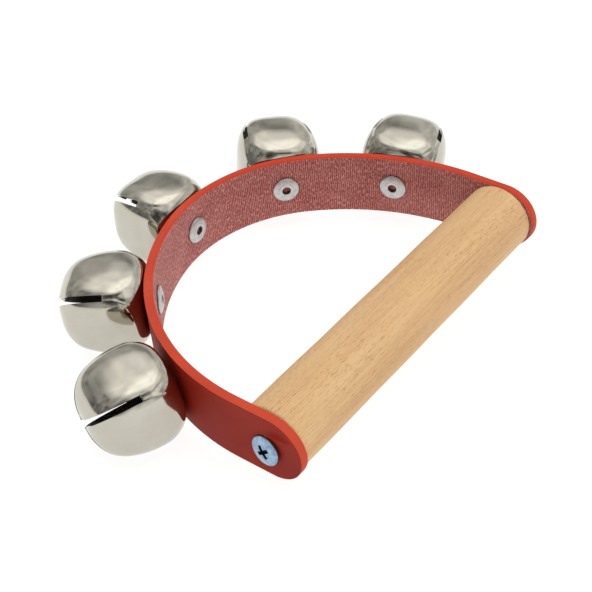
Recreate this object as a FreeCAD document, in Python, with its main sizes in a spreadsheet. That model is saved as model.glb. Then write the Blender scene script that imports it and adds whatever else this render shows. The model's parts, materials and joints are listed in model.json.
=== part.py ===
"""Sleigh bells on a hand strap: a beech dowel, a D-shaped strap and five riveted bells.

The model is worked out about the middle of the dowel (X along the dowel, the bells towards +Y,
the strap standing on edge along Z) and then shifted so that the whole instrument, lying flat,
stands on Z = 0 with its box centred on the origin. Sizes are in millimetres.
"""
import FreeCAD
import Part
import math
import os
import PartDesign
import Sketcher

Vector = FreeCAD.Vector
Rotation = FreeCAD.Rotation
Placement = FreeCAD.Placement

DRIVING = {
    "dowel_radius": 11.0,
    "dowel_length": 117.0,
    "dowel_edge": 0.8,
    "strap_width": 21.0,
    "skin_thickness": 2.2,
    "lining_thickness": 0.6,
    "straight_top": 11.0,       # where each straight end of the strap meets its arc
    "tongue_drop": 1.3,         # the rounded strap ends are centred this far below the dowel's axis
    "near_radius": 69.5,        # centre-line arcs of the strap, from left to right
    "crown_radius": 47.7,
    "far_radius": 79.5,
    "bell_count": 5.0,
    "bell_pitch": 36.6,         # along the strap's centre line
    "bell_gap": 0.15,           # running gap between a bell's base and its neighbours
    "bell_half_width": 13.8,    # across the flat petals, at the widest height
    "bell_corner_reach": 1.8,   # how far the rounded corners stand out past the petals
    "bell_height": 26.7,
    "bell_widest": 10.0,        # height of the widest place
    "bell_base_round": 4.0,
    "bell_side_round": 30.0,
    "bell_tip_round": 10.5,
    "bell_wall": 0.7,
    "slit_start": 11.6,         # height at which the cross slits begin
    "slit_width": 2.0,
    "slit_mouth": 2.2,
    "shank_radius": 2.0,
    "running_gap": 0.05,        # radial, round the shanks of the rivets and the end screws
    "bell_hole_play": 0.15,     # radial, between the rivet's shank and the bell's hole
    "rivet_play": 1.6,          # how far a bell can slide up its rivet, which lets it lean
    "rivet_head_radius": 3.6,
    "rivet_head_height": 0.8,
    "rivet_bore": 1.4,
    "flare_radius": 2.7,
    "flare_height": 0.35,
    "washer_radius": 4.45,
    "washer_sheet": 0.45,
    "washer_dish": 0.4,
    "washer_lift": 0.25,        # clears the hollow side of the curved strap
    "pellet_radius": 4.2,
    "screw_head_radius": 4.65,
    "screw_head_height": 1.7,
    "screw_rim": 0.35,
    "screw_shank_radius": 1.9,
    "screw_length": 28.0,
    "screw_point": 3.5,
    "screw_drop": 1.3,          # both end screws sit this far below the dowel's axis
    "recess_reach": 2.6,
    "recess_width": 1.1,
    "recess_depth": 1.2,
}

# How each bell stands on its loose rivet, left to right, in degrees: its turn about the rivet, and
# how far it leans up (or down, below zero) from square to the strap.
BELL_TURNS = (-3.5, -1.0, 4.0, 6.5, 6.5)
BELL_LEANS = (-5.0, 0.0, 0.0, 6.5, 3.0)

document = FreeCAD.newDocument("SleighBells")
sheet = document.addObject("Spreadsheet::Sheet", "Dims")
for row, (alias, value) in enumerate(DRIVING.items(), start=1):
    sheet.set(f"A{row}", alias)
    sheet.set(f"B{row}", str(value))
    sheet.setAlias(f"B{row}", alias)
document.recompute()


def size(alias):
    """The value of one cell of the sheet."""
    return float(sheet.get(alias))


def cell(text):
    """An expression in which each sheet alias is named in full."""
    words = text.split()
    return " ".join("Dims." + word if word in DRIVING else word for word in words)


def bind(item, **expressions):
    """Binds properties of a document object to expressions of sheet aliases."""
    for name, text in expressions.items():
        item.setExpression(name, cell(text))


# ---------------------------------------------------------------- sketch helpers

START, END, CENTRE = 1, 2, 3
ORIGIN, VERTICAL_AXIS = -1, -2


def body_plane(body, role):
    """One of the origin planes of a body."""
    return next(item for item in body.Origin.OriginFeatures if item.Role == role)


def body_sketch(body, name, role):
    """A sketch on one of the body's own origin planes."""
    sketch = body.newObject("Sketcher::SketchObject", name)
    sketch.AttachmentSupport = [(body_plane(body, role), "")]
    sketch.MapMode = "FlatFace"
    return sketch


def upright_sketch(name):
    """A free sketch in the XZ plane, with its own Y along Z."""
    sketch = document.addObject("Sketcher::SketchObject", name)
    sketch.Placement = Placement(Vector(0, 0, 0), Rotation(Vector(1, 0, 0), 90))
    return sketch


def line(sketch, start, end):
    return sketch.addGeometry(Part.LineSegment(Vector(*start, 0), Vector(*end, 0)), False)


def arc(sketch, centre, radius, start_angle, end_angle):
    """An arc drawn counter-clockwise, with its angles in radians."""
    circle = Part.Circle(Vector(*centre, 0), Vector(0, 0, 1), radius)
    return sketch.addGeometry(Part.ArcOfCircle(circle, start_angle, end_angle), False)


def relate(sketch, kind, *references):
    return sketch.addConstraint(Sketcher.Constraint(kind, *references))


def drive(sketch, kind, references, value, text):
    """A dimension of a sketch, drawn at its value and driven by the sheet."""
    index = sketch.addConstraint(Sketcher.Constraint(kind, *references, value))
    sketch.setExpression(f"Constraints[{index}]", cell(text))


def polygon(sketch, corners):
    """A closed outline; each corner is (x, y, x text, y text), its texts driving it."""
    count = len(corners)
    first = None
    for index, corner in enumerate(corners):
        follower = corners[(index + 1) % count]
        item = line(sketch, corner[:2], follower[:2])
        first = item if first is None else first
    for index in range(count):
        relate(sketch, "Coincident", first + index, END, first + (index + 1) % count, START)
    for index, (x, y, x_text, y_text) in enumerate(corners):
        place_point(sketch, first + index, START, (x, y), (x_text, y_text))


def place_point(sketch, item, point, position, texts):
    """Drives both coordinates of a point from the sketch's origin."""
    for kind, axis, value, text in (
        ("DistanceX", VERTICAL_AXIS, position[0], texts[0]),
        ("DistanceY", ORIGIN, position[1], texts[1]),
    ):
        if text is None:
            relate(sketch, "PointOnObject", item, point, axis)
        elif value > 0:
            drive(sketch, kind, (ORIGIN, START, item, point), value, text)
        else:
            drive(sketch, kind, (item, point, ORIGIN, START), -value, f"-( {text} )")


# ---------------------------------------------------------------- handle and screws

def add_dowel():
    """The beech dowel, with eased rims and a pilot hole in each end."""
    body = document.addObject("PartDesign::Body", "handle_dowel")
    body.Label = "handle_dowel"
    outline = body_sketch(body, "dowel_outline", "YZ_Plane")
    outline.addGeometry(Part.Circle(Vector(0, 0, 0), Vector(0, 0, 1), size("dowel_radius")), False)
    relate(outline, "Coincident", 0, CENTRE, ORIGIN, START)
    drive(outline, "Radius", (0,), size("dowel_radius"), "dowel_radius")
    rod = body.newObject("PartDesign::Pad", "dowel_rod")
    rod.Profile = outline
    rod.Midplane = True
    bind(rod, Length="dowel_length")
    document.recompute()
    rims = [
        f"Edge{index}"
        for index, edge in enumerate(rod.Shape.Edges, start=1)
        if abs(abs(edge.CenterOfMass.x) - size("dowel_length") / 2) < 0.01
    ]
    eased = body.newObject("PartDesign::Fillet", "dowel_eased_rims")
    eased.Base = (rod, rims)
    bind(eased, Radius="dowel_edge")
    for end, sign in (("left", -1), ("right", 1)):
        circle = body_sketch(body, f"pilot_outline_{end}", "YZ_Plane")
        middle = Vector(0, -size("screw_drop"), 0)
        circle.addGeometry(Part.Circle(middle, Vector(0, 0, 1), 1.0), False)
        place_point(circle, 0, CENTRE, (0, -size("screw_drop")), (None, "- screw_drop"))
        radius = size("screw_shank_radius") + size("running_gap")
        drive(circle, "Radius", (0,), radius, "screw_shank_radius + running_gap")
        circle.setExpression("AttachmentOffset.Base.z", cell(f"{sign} * dowel_length / 2"))
        pilot = body.newObject("PartDesign::Pocket", f"pilot_{end}")
        pilot.Profile = circle
        pilot.Reversed = sign < 0
        bind(pilot, Length="screw_length")
        document.recompute()
    if body.Shape.Volume > rod.Shape.Volume - 100:
        raise RuntimeError("the pilot holes cut nothing")
    return body


def add_screw(name, placement):
    """A truss-head wood screw with a cross recess; its axis is the local Z, its seat at Z = 0."""
    body = document.addObject("PartDesign::Body", name)
    body.Label = name
    outline = body_sketch(body, f"{name}_outline", "XZ_Plane")
    shank = size("screw_shank_radius")
    head = size("screw_head_radius")
    rim = size("screw_rim")
    top = size("screw_head_height")
    length = size("screw_length")
    shoulder = length - size("screw_point")
    rise = top - rim
    dome = (head ** 2 + rise ** 2) / (2 * rise)
    line(outline, (0, top), (0, -length))
    line(outline, (0, -length), (shank, -shoulder))
    line(outline, (shank, -shoulder), (shank, 0))
    line(outline, (shank, 0), (head, 0))
    line(outline, (head, 0), (head, rim))
    arc(outline, (0, top - dome), dome, math.atan2(rim - top + dome, head), math.pi / 2)
    for index in range(4):
        relate(outline, "Coincident", index, END, index + 1, START)
    relate(outline, "Coincident", 4, END, 5, START)
    relate(outline, "Coincident", 5, END, 0, START)
    relate(outline, "PointOnObject", 5, CENTRE, VERTICAL_AXIS)
    place_point(outline, 0, START, (0, top), (None, "screw_head_height"))
    place_point(outline, 1, START, (0, -length), (None, "- screw_length"))
    place_point(outline, 2, START, (shank, -shoulder),
                ("screw_shank_radius", "screw_point - screw_length"))
    relate(outline, "Vertical", 2)
    place_point(outline, 4, START, (head, 0), ("screw_head_radius", None))
    relate(outline, "Horizontal", 3)
    relate(outline, "Vertical", 4)
    drive(outline, "DistanceY", (4, START, 4, END), rim, "screw_rim")
    turned = body.newObject("PartDesign::Revolution", f"{name}_turned")
    turned.Profile = outline
    turned.ReferenceAxis = (outline, ["V_Axis"])
    document.recompute()
    cross = body_sketch(body, f"{name}_cross", "XY_Plane")
    reach = size("recess_reach")
    half = size("recess_width") / 2
    arm_tip, arm_side = "recess_reach", "recess_width / 2"
    signs = ((1, -1), (1, 1), (-1, 1), (-1, -1))
    corners = []
    for quarter, (sx, sy) in enumerate(signs):
        tip_x, tip_y = (sx * reach, sy * half), (sx * half, sy * reach)
        text_x = (f"{sx} * {arm_tip}", f"{sy} * {arm_side}")
        text_y = (f"{sx} * {arm_side}", f"{sy} * {arm_tip}")
        inner = (sx * half, sy * half, f"{sx} * {arm_side}", f"{sy} * {arm_side}")
        trio = [(*tip_y, *text_y), inner, (*tip_x, *text_x)]
        corners += trio if quarter % 2 == 0 else trio[::-1]
    polygon(cross, corners)
    cross.setExpression("AttachmentOffset.Base.z", cell("screw_head_height - recess_depth"))
    recess = body.newObject("PartDesign::Pocket", f"{name}_recess")
    recess.Profile = cross
    recess.Reversed = True
    bind(recess, Length="2 * recess_depth")
    document.recompute()
    if turned.Shape.Volume - body.Shape.Volume < 1:
        raise RuntimeError(f"{name}: the recess cuts nothing")
    body.Placement = placement
    return body


# ---------------------------------------------------------------- strap

def strap_arcs():
    """Centres and joint angles of the strap's three centre-line arcs, left to right."""
    half_span = (size("dowel_length") + size("skin_thickness") + size("lining_thickness")) / 2
    near, crown, far = size("near_radius"), size("crown_radius"), size("far_radius")
    level = size("straight_top")
    near_centre = Vector(near - half_span, level, 0)
    far_centre = Vector(half_span - far, level, 0)
    reach_near, reach_far = near - crown, far - crown
    apart = near_centre.x - far_centre.x
    along = (reach_near ** 2 - reach_far ** 2 + apart ** 2) / (2 * apart)
    crown_centre = near_centre + Vector(-along, math.sqrt(reach_near ** 2 - along ** 2), 0)
    left = math.atan2(crown_centre.y - near_centre.y, crown_centre.x - near_centre.x)
    right = math.atan2(crown_centre.y - far_centre.y, crown_centre.x - far_centre.x)
    return half_span, (near_centre, near), (crown_centre, crown), (far_centre, far), left, right


def strap_station(distance):
    """The centre-line point and outward normal at a distance along the strap from the dowel's level."""
    half_span, near, crown, far, left, right = strap_arcs()
    level = size("straight_top")
    if distance < level:
        return Vector(-half_span, distance, 0), Vector(-1, 0, 0)
    distance -= level
    for (centre, radius), start, end in ((near, math.pi, left), (crown, left, right), (far, right, 0)):
        stretch = radius * (start - end)
        if distance <= stretch:
            angle = start - distance / radius
            normal = Vector(math.cos(angle), math.sin(angle), 0)
            return centre + normal * radius, normal
        distance -= stretch
    return Vector(half_span, level - distance, 0), Vector(1, 0, 0)


def strap_length():
    """Centre-line length of the strap from one screw to the other."""
    _, near, crown, far, left, right = strap_arcs()
    bends = near[1] * (math.pi - left) + crown[1] * (left - right) + far[1] * right
    return bends + 2 * size("straight_top")


def band_chain(sketch, offset, offset_text):
    """One long side of the strap, at an offset out of its centre line, as tangent lines and arcs."""
    half_span, near, crown, far, left, right = strap_arcs()
    level = size("straight_top")
    foot = -(size("tongue_drop") + size("strap_width") / 2)
    edge = half_span + offset
    first = line(sketch, (-edge, level), (-edge, foot))
    arc(sketch, near[0][:2], near[1] + offset, left, math.pi)
    arc(sketch, crown[0][:2], crown[1] + offset, right, left)
    arc(sketch, far[0][:2], far[1] + offset, 0, right)
    last = line(sketch, (edge, foot), (edge, level))
    relate(sketch, "Tangent", first, START, first + 1, END)
    relate(sketch, "Tangent", first + 1, START, first + 2, END)
    relate(sketch, "Tangent", first + 2, START, first + 3, END)
    relate(sketch, "Tangent", first + 3, START, last, END)
    relate(sketch, "Vertical", first)
    relate(sketch, "Vertical", last)
    for step, (alias, radius) in enumerate(
        (("near_radius", near[1]), ("crown_radius", crown[1]), ("far_radius", far[1])), start=1
    ):
        drive(sketch, "Radius", (first + step,), radius + offset, f"{alias} + {offset_text}")
    edge_text = f"( dowel_length + skin_thickness + lining_thickness ) / 2 + {offset_text}"
    drive(sketch, "DistanceX", (first, START, ORIGIN, START), edge, edge_text)
    drive(sketch, "DistanceX", (ORIGIN, START, last, START), edge, edge_text)
    drive(sketch, "DistanceY", (ORIGIN, START, first, START), level, "straight_top")
    drive(sketch, "DistanceY", (ORIGIN, START, last, END), level, "straight_top")
    foot_text = "tongue_drop + strap_width / 2"
    drive(sketch, "DistanceY", (first, END, ORIGIN, START), -foot, foot_text)
    drive(sketch, "DistanceY", (last, START, ORIGIN, START), -foot, foot_text)
    return first, last


def add_layer(name, inner, outer, inner_text, outer_text):
    """One layer of the strap between two offsets, with rounded ends and its rivet and screw holes."""
    outline = document.addObject("Sketcher::SketchObject", f"{name}_outline")
    outside = band_chain(outline, outer, outer_text)
    inside = band_chain(outline, inner, inner_text)
    foot = -(size("tongue_drop") + size("strap_width") / 2)
    for (side_out, side_in, point) in ((outside[0], inside[0], END), (outside[1], inside[1], START)):
        x_out = outline.getPoint(side_out, point).x
        x_in = outline.getPoint(side_in, point).x
        cap = line(outline, (x_out, foot), (x_in, foot))
        relate(outline, "Coincident", side_out, point, cap, START)
        relate(outline, "Coincident", side_in, point, cap, END)
    band = document.addObject("Part::Extrusion", f"{name}_band")
    band.Base = outline
    band.DirMode = "Normal"
    band.Solid = True
    band.Symmetric = True
    bind(band, LengthFwd="strap_width")
    tongues = add_tongue_gauge(name)
    shaped = document.addObject("Part::MultiCommon", f"{name}_shaped")
    shaped.Shapes = [band, tongues]
    layer = document.addObject("Part::Cut", name)
    layer.Base = shaped
    layer.Tool = add_strap_holes(name)
    layer.Label = name
    return layer


def add_tongue_gauge(name):
    """A long bar along X whose lower edge is the round of the strap's ends."""
    half = size("strap_width") / 2
    drop = size("tongue_drop")
    top = size("crown_radius") * 2
    outline = document.addObject("Sketcher::SketchObject", f"{name}_side_view")
    outline.Placement = Placement(Vector(0, 0, 0), Rotation(Vector(1, 1, 1), 120))
    line(outline, (top, half), (-drop, half))
    arc(outline, (-drop, 0), half, math.pi / 2, 3 * math.pi / 2)
    line(outline, (-drop, -half), (top, -half))
    line(outline, (top, -half), (top, half))
    relate(outline, "Tangent", 0, END, 1, START)
    relate(outline, "Tangent", 1, END, 2, START)
    relate(outline, "Coincident", 2, END, 3, START)
    relate(outline, "Coincident", 3, END, 0, START)
    relate(outline, "Horizontal", 0)
    relate(outline, "Vertical", 3)
    drive(outline, "Radius", (1,), half, "strap_width / 2")
    place_point(outline, 1, CENTRE, (-drop, 0), ("- tongue_drop", None))
    drive(outline, "DistanceX", (ORIGIN, START, 3, START), top, "crown_radius * 2")
    gauge = document.addObject("Part::Extrusion", f"{name}_gauge")
    gauge.Base = outline
    gauge.DirMode = "Normal"
    gauge.Solid = True
    gauge.Symmetric = True
    bind(gauge, LengthFwd="dowel_length * 2")
    return gauge


def add_strap_holes(name):
    """Drills for the rivets and the end screws, through the whole strap."""
    drills = []
    for number, station in enumerate(BELL_STATIONS, start=1):
        drill = document.addObject("Part::Cylinder", f"{name}_rivet_drill_{number}")
        bind(drill, Radius="shank_radius + running_gap", Height="4 * skin_thickness")
        position, normal = strap_station(station)
        turn = Rotation(Vector(0, 0, 1), normal)
        drill.Placement = Placement(position - normal * 2 * size("skin_thickness"), turn)
        drills.append(drill)
    through = document.addObject("Part::Cylinder", f"{name}_screw_drill")
    bind(through, Radius="screw_shank_radius + running_gap", Height="2 * dowel_length")
    turn = Rotation(Vector(0, 0, 1), Vector(1, 0, 0))
    through.Placement = Placement(Vector(-size("dowel_length"), 0, -size("screw_drop")), turn)
    drills.append(through)
    holes = document.addObject("Part::MultiFuse", f"{name}_drills")
    holes.Shapes = drills
    return holes


# ---------------------------------------------------------------- bells

def profile_numbers(inset, reach):
    """The bell's half profile, drawn in by an inset and out by a reach: its arcs' centres and angles."""
    low = size("bell_gap") + inset
    top = size("bell_gap") + size("bell_height") - inset
    widest = size("bell_gap") + size("bell_widest")
    base = size("bell_base_round") - inset
    side = size("bell_side_round") - inset
    tip = size("bell_tip_round") - inset
    middle = size("bell_half_width") + reach - size("bell_side_round")
    base_x = middle + math.sqrt((side - base) ** 2 - (widest - low - base) ** 2)
    tip_x = middle + math.sqrt((side - tip) ** 2 - (top - tip - widest) ** 2)
    lower = math.atan2(low + base - widest, base_x - middle)
    upper = math.atan2(top - tip - widest, tip_x - middle)
    return {
        "low": low, "top": top, "base": (base_x, low + base, base), "side": (middle, widest, side),
        "tip": (tip_x, top - tip, tip), "lower": lower, "upper": upper,
    }


def drive_profile(sketch, arcs, lines, inset_text, reach_text, numbers):
    """Drives the base, side and tip arcs and the two level lines of a bell profile."""
    for item, part_name in zip(arcs, ("base", "side", "tip")):
        radius = numbers[part_name][2]
        drive(sketch, "Radius", (item,), radius, f"bell_{part_name}_round - {inset_text}")
    low_text = f"bell_gap + {inset_text}"
    top_text = f"bell_gap + bell_height - {inset_text}"
    relate(sketch, "Horizontal", lines[0])
    relate(sketch, "Horizontal", lines[1])
    drive(sketch, "DistanceY", (ORIGIN, START, lines[0], END), numbers["low"], low_text)
    drive(sketch, "DistanceY", (ORIGIN, START, lines[1], START), numbers["top"], top_text)
    middle, widest, _ = numbers["side"]
    centre_text = f"bell_side_round - bell_half_width - {reach_text}"
    drive(sketch, "DistanceX", (arcs[1], CENTRE, ORIGIN, START), -middle, centre_text)
    drive(sketch, "DistanceY", (ORIGIN, START, arcs[1], CENTRE), widest, "bell_gap + bell_widest")


def full_profile(name, inset, inset_text):
    """The bell's outline seen square on to a petal."""
    numbers = profile_numbers(inset, 0)
    base_x, base_y, base = numbers["base"]
    side_x, side_y, side = numbers["side"]
    tip_x, tip_y, tip = numbers["tip"]
    lower, upper = numbers["lower"], numbers["upper"]
    sketch = upright_sketch(name)
    line(sketch, (-base_x, numbers["low"]), (base_x, numbers["low"]))
    arc(sketch, (base_x, base_y), base, -math.pi / 2, lower)
    arc(sketch, (side_x, side_y), side, lower, upper)
    arc(sketch, (tip_x, tip_y), tip, upper, math.pi / 2)
    line(sketch, (tip_x, numbers["top"]), (-tip_x, numbers["top"]))
    arc(sketch, (-tip_x, tip_y), tip, math.pi / 2, math.pi - upper)
    arc(sketch, (-side_x, side_y), side, math.pi - upper, math.pi - lower)
    arc(sketch, (-base_x, base_y), base, math.pi - lower, 3 * math.pi / 2)
    for item in range(8):
        relate(sketch, "Tangent", item, END, (item + 1) % 8, START)
    for right, left in ((1, 7), (2, 6), (3, 5)):
        relate(sketch, "Equal", right, left)
    relate(sketch, "Symmetric", 2, CENTRE, 6, CENTRE, VERTICAL_AXIS)
    drive_profile(sketch, (1, 2, 3), (0, 4), inset_text, "0", numbers)
    return sketch


def half_profile(name, inset, inset_text):
    """Half of the bell's outline across its rounded corners, closed on the axis."""
    numbers = profile_numbers(inset, size("bell_corner_reach"))
    base_x, base_y, base = numbers["base"]
    side_x, side_y, side = numbers["side"]
    tip_x, tip_y, tip = numbers["tip"]
    lower, upper = numbers["lower"], numbers["upper"]
    sketch = upright_sketch(name)
    line(sketch, (0, numbers["low"]), (base_x, numbers["low"]))
    arc(sketch, (base_x, base_y), base, -math.pi / 2, lower)
    arc(sketch, (side_x, side_y), side, lower, upper)
    arc(sketch, (tip_x, tip_y), tip, upper, math.pi / 2)
    line(sketch, (tip_x, numbers["top"]), (0, numbers["top"]))
    line(sketch, (0, numbers["top"]), (0, numbers["low"]))
    for item in range(4):
        relate(sketch, "Tangent", item, END, item + 1, START)
    relate(sketch, "Coincident", 4, END, 5, START)
    relate(sketch, "Coincident", 5, END, 0, START)
    relate(sketch, "PointOnObject", 5, START, VERTICAL_AXIS)
    relate(sketch, "Vertical", 5)
    drive_profile(sketch, (1, 2, 3), (0, 4), inset_text, "bell_corner_reach", numbers)
    return sketch


def bell_block(name, inset, inset_text):
    """A square pillow with rounded corners: two crossed extrusions inside a turned solid."""
    outline = full_profile(f"{name}_profile", inset, inset_text)
    solids = []
    for turn in (0, 90):
        slab = document.addObject("Part::Extrusion", f"{name}_slab_{turn}")
        slab.Base = outline
        slab.DirMode = "Normal"
        slab.Solid = True
        slab.Symmetric = True
        bind(slab, LengthFwd="4 * bell_half_width")
        slab.Placement = Placement(Vector(0, 0, 0), Rotation(Vector(0, 0, 1), turn))
        solids.append(slab)
    turned = document.addObject("Part::Revolution", f"{name}_turned")
    turned.Source = half_profile(f"{name}_half", inset, inset_text)
    turned.Axis = Vector(0, 0, 1)
    turned.Angle = 360
    turned.Solid = True
    solids.append(turned)
    block = document.addObject("Part::MultiCommon", f"{name}_block")
    block.Shapes = solids
    return block


def bell_cutters(name):
    """The tools that open a bell: its cavity, two crossed tapering slits and the rivet's hole."""
    cavity = bell_block(f"{name}_cavity", size("bell_wall"), "bell_wall")
    hole = document.addObject("Part::Cylinder", f"{name}_rivet_hole")
    bind(hole, Radius="shank_radius + bell_hole_play", Height="bell_gap + 2 * bell_wall")
    tools = [cavity, hole]
    for turn in (45, 135):
        slit = document.addObject("Part::Wedge", f"{name}_slit_{turn}")
        bind(
            slit, Ymin="slit_start", Ymax="bell_gap + bell_height + bell_wall",
            Xmin="- 2 * bell_half_width", X2min="- 2 * bell_half_width",
            Xmax="2 * bell_half_width", X2max="2 * bell_half_width",
            Zmin="- slit_width / 2", Zmax="slit_width / 2",
            Z2min="- slit_mouth / 2", Z2max="slit_mouth / 2",
        )
        upright = Rotation(Vector(1, 0, 0), 90)
        slit.Placement = Placement(Vector(0, 0, 0), Rotation(Vector(0, 0, 1), turn).multiply(upright))
        tools.append(slit)
    cutters = document.addObject("Part::MultiFuse", f"{name}_cutters")
    cutters.Shapes = tools
    return cutters


def add_bell(number, seat):
    """One pressed-steel bell shell: four petals over a flat base, standing on the local Z axis."""
    name = f"bell_shell_{number}"
    bell = document.addObject("Part::Cut", name)
    bell.Base = bell_block(f"{name}_outside", 0, "0")
    bell.Tool = bell_cutters(name)
    bell.Label = name
    bell.Placement = seat
    return bell


def add_pellet(number, seat):
    """The loose ball, resting on the lowest petal at the bell's widest height."""
    pellet = document.addObject("Part::Sphere", f"pellet_{number}")
    pellet.Label = f"pellet_{number}"
    bind(pellet, Radius="pellet_radius")
    rest = size("bell_half_width") - size("bell_wall") - size("pellet_radius") - size("bell_gap")
    height = size("bell_gap") + size("bell_widest")
    pellet.Placement = seat.multiply(Placement(Vector(0, -rest, height), Rotation()))
    return pellet


def turned_body(name, corners, seat):
    """A body turned about its local Z axis from a half section."""
    body = document.addObject("PartDesign::Body", name)
    body.Label = name
    outline = body_sketch(body, f"{name}_section", "XZ_Plane")
    polygon(outline, corners)
    turned = body.newObject("PartDesign::Revolution", f"{name}_turned")
    turned.Profile = outline
    turned.ReferenceAxis = (outline, ["V_Axis"])
    body.Placement = seat
    return body


def add_rivet(number, seat):
    """The tubular rivet: head inside the bell, shank through the strap, rolled flare on the washer."""
    under_text = "2 * bell_gap + bell_wall + rivet_play"
    under = 2 * size("bell_gap") + size("bell_wall") + size("rivet_play")
    top_text = f"{under_text} + rivet_head_height"
    top = under + size("rivet_head_height")
    strap_text = "- skin_thickness - lining_thickness"
    flare_text = f"{strap_text} - washer_lift - washer_dish - washer_sheet"
    flare = -sum(size(name) for name in (
        "skin_thickness", "lining_thickness", "washer_lift", "washer_dish", "washer_sheet"))
    end_text = f"{flare_text} - flare_height"
    end = flare - size("flare_height")
    head, shank = size("rivet_head_radius"), size("shank_radius")
    bore, ring = size("rivet_bore"), size("flare_radius")
    floor = size("bell_wall")
    corners = [
        (0, top, None, top_text),
        (0, floor, None, "bell_wall"),
        (bore, floor, "rivet_bore", "bell_wall"),
        (bore, end, "rivet_bore", end_text),
        (ring, end, "flare_radius", end_text),
        (ring, flare, "flare_radius", flare_text),
        (shank, flare, "shank_radius", flare_text),
        (shank, under, "shank_radius", under_text),
        (head, under, "rivet_head_radius", under_text),
        (head, top, "rivet_head_radius", top_text),
    ]
    return turned_body(f"bell_rivet_{number}", corners, seat)


def add_washer(number, seat):
    """The dished disc between the strap's lining and the rivet's flare."""
    rim_text = "- skin_thickness - lining_thickness - washer_lift"
    rim = -(size("skin_thickness") + size("lining_thickness") + size("washer_lift"))
    eye_text = "shank_radius + running_gap"
    eye = size("shank_radius") + size("running_gap")
    outer, dish, gauge = size("washer_radius"), size("washer_dish"), size("washer_sheet")
    corners = [
        (eye, rim - dish, eye_text, f"{rim_text} - washer_dish"),
        (eye, rim - dish - gauge, eye_text, f"{rim_text} - washer_dish - washer_sheet"),
        (outer, rim - gauge, "washer_radius", f"{rim_text} - washer_sheet"),
        (outer, rim, "washer_radius", rim_text),
    ]
    return turned_body(f"rivet_washer_{number}", corners, seat)


def bell_stations():
    """Distances of the bells' rivets along the strap, spread evenly about its middle."""
    count = int(size("bell_count"))
    first = strap_length() / 2 - (count - 1) / 2 * size("bell_pitch")
    return [first + index * size("bell_pitch") for index in range(count)]


def bell_seat(station, turn):
    """The frame of a bell: local Z out of the strap's outer face, local Y up at no turn."""
    position, normal = strap_station(station)
    thickness = size("skin_thickness") + size("lining_thickness")
    facing = Rotation(Vector(-normal.y, normal.x, 0), Vector(0, 0, 1), normal, "ZXY")
    spin = Rotation(Vector(0, 0, 1), turn)
    return Placement(position + normal * thickness / 2, facing.multiply(spin))


def bell_hang(seat, lean):
    """The frame of a bell that leans about its hole, lifted until its base rim clears the strap."""
    flat = profile_numbers(0, 0)["base"][0]
    lift = flat * math.sin(math.radians(abs(lean)))
    pivot = Vector(0, 0, size("bell_gap") + size("bell_wall") / 2)
    tilt = Rotation(Vector(1, 0, 0), -lean)
    return seat.multiply(Placement(pivot + Vector(0, 0, lift) - tilt.multVec(pivot), tilt))


# ---------------------------------------------------------------- assembly

def build():
    """Makes every sub-part about the middle of the dowel."""
    half_skin = (size("skin_thickness") + size("lining_thickness")) / 2
    joint = half_skin - size("skin_thickness")
    joint_text = "( lining_thickness - skin_thickness ) / 2"
    face_text = "( lining_thickness + skin_thickness ) / 2"
    parts = [
        add_dowel(),
        add_layer("strap", joint, half_skin, joint_text, face_text),
        add_layer("strap_lining", -half_skin, joint, f"-1 * {face_text}", joint_text),
    ]
    screw_seat = size("dowel_length") / 2 + 2 * half_skin + size("running_gap")
    for end, sign in (("left", -1), ("right", 1)):
        facing = Rotation(Vector(0, 0, 1), Vector(sign, 0, 0))
        twist = Rotation(Vector(0, 0, 1), 20)
        place = Vector(sign * screw_seat, 0, -size("screw_drop"))
        seat = Placement(place, facing.multiply(twist))
        parts.append(add_screw(f"end_screw_{end}", seat))
    for number, (station, turn, lean) in enumerate(BELL_STANDS, start=1):
        seat = bell_seat(station, turn)
        hang = bell_hang(seat, lean)
        parts += [
            add_bell(number, hang),
            add_pellet(number, hang),
            add_rivet(number, seat),
            add_washer(number, seat),
        ]
    return parts


def stand_on_origin(parts):
    """Shifts every sub-part so that the whole box stands centred on the origin."""
    box = FreeCAD.BoundBox()
    for item in parts:
        box.add(item.Shape.optimalBoundingBox(False))
    shift = Vector(-box.Center.x, -box.Center.y, -box.ZMin)
    for item in parts:
        placement = item.Placement
        item.Placement = Placement(placement.Base + shift, placement.Rotation)
    document.recompute()
    return shift


def check(parts):
    """Stops unless every object of the document and every sub-part's shape is sound."""
    for item in document.Objects:
        if "Invalid" in item.State or "Error" in item.State:
            raise RuntimeError(f"{item.Name} failed: {item.State}")
    for item in parts:
        if item.Shape.isNull() or not item.Shape.isValid():
            raise RuntimeError(f"{item.Label} has no sound shape")
        solids = len(item.Shape.Solids)
        print(f"{item.Label}: {item.Shape.Volume:.1f} mm3, {solids} solid")


BELL_STATIONS = bell_stations()
BELL_STANDS = tuple(zip(BELL_STATIONS, BELL_TURNS, BELL_LEANS))
sub_parts = build()
document.recompute()
check(sub_parts)
origin_shift = stand_on_origin(sub_parts)
check(sub_parts)
print("shift", origin_shift)
os.makedirs("parts", exist_ok=True)
for sub_part in sub_parts:
    sub_part.Shape.exportStep(f"parts/{sub_part.Label}.step")
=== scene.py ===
"""Sleigh bells on a hand strap: the looks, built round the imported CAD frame.

Lengths are in metres in the row's frame; MM turns millimetres into metres. Places come from the
frame: the dowel's box gives the middle of the handle, and the swivel and rattle joints give each
bell's seat. The strap's arcs and the bells' profile repeat the CAD's own sizes.
"""
import json
import math
import random

import bmesh
import bpy
from mathutils import Matrix, Vector


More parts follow.
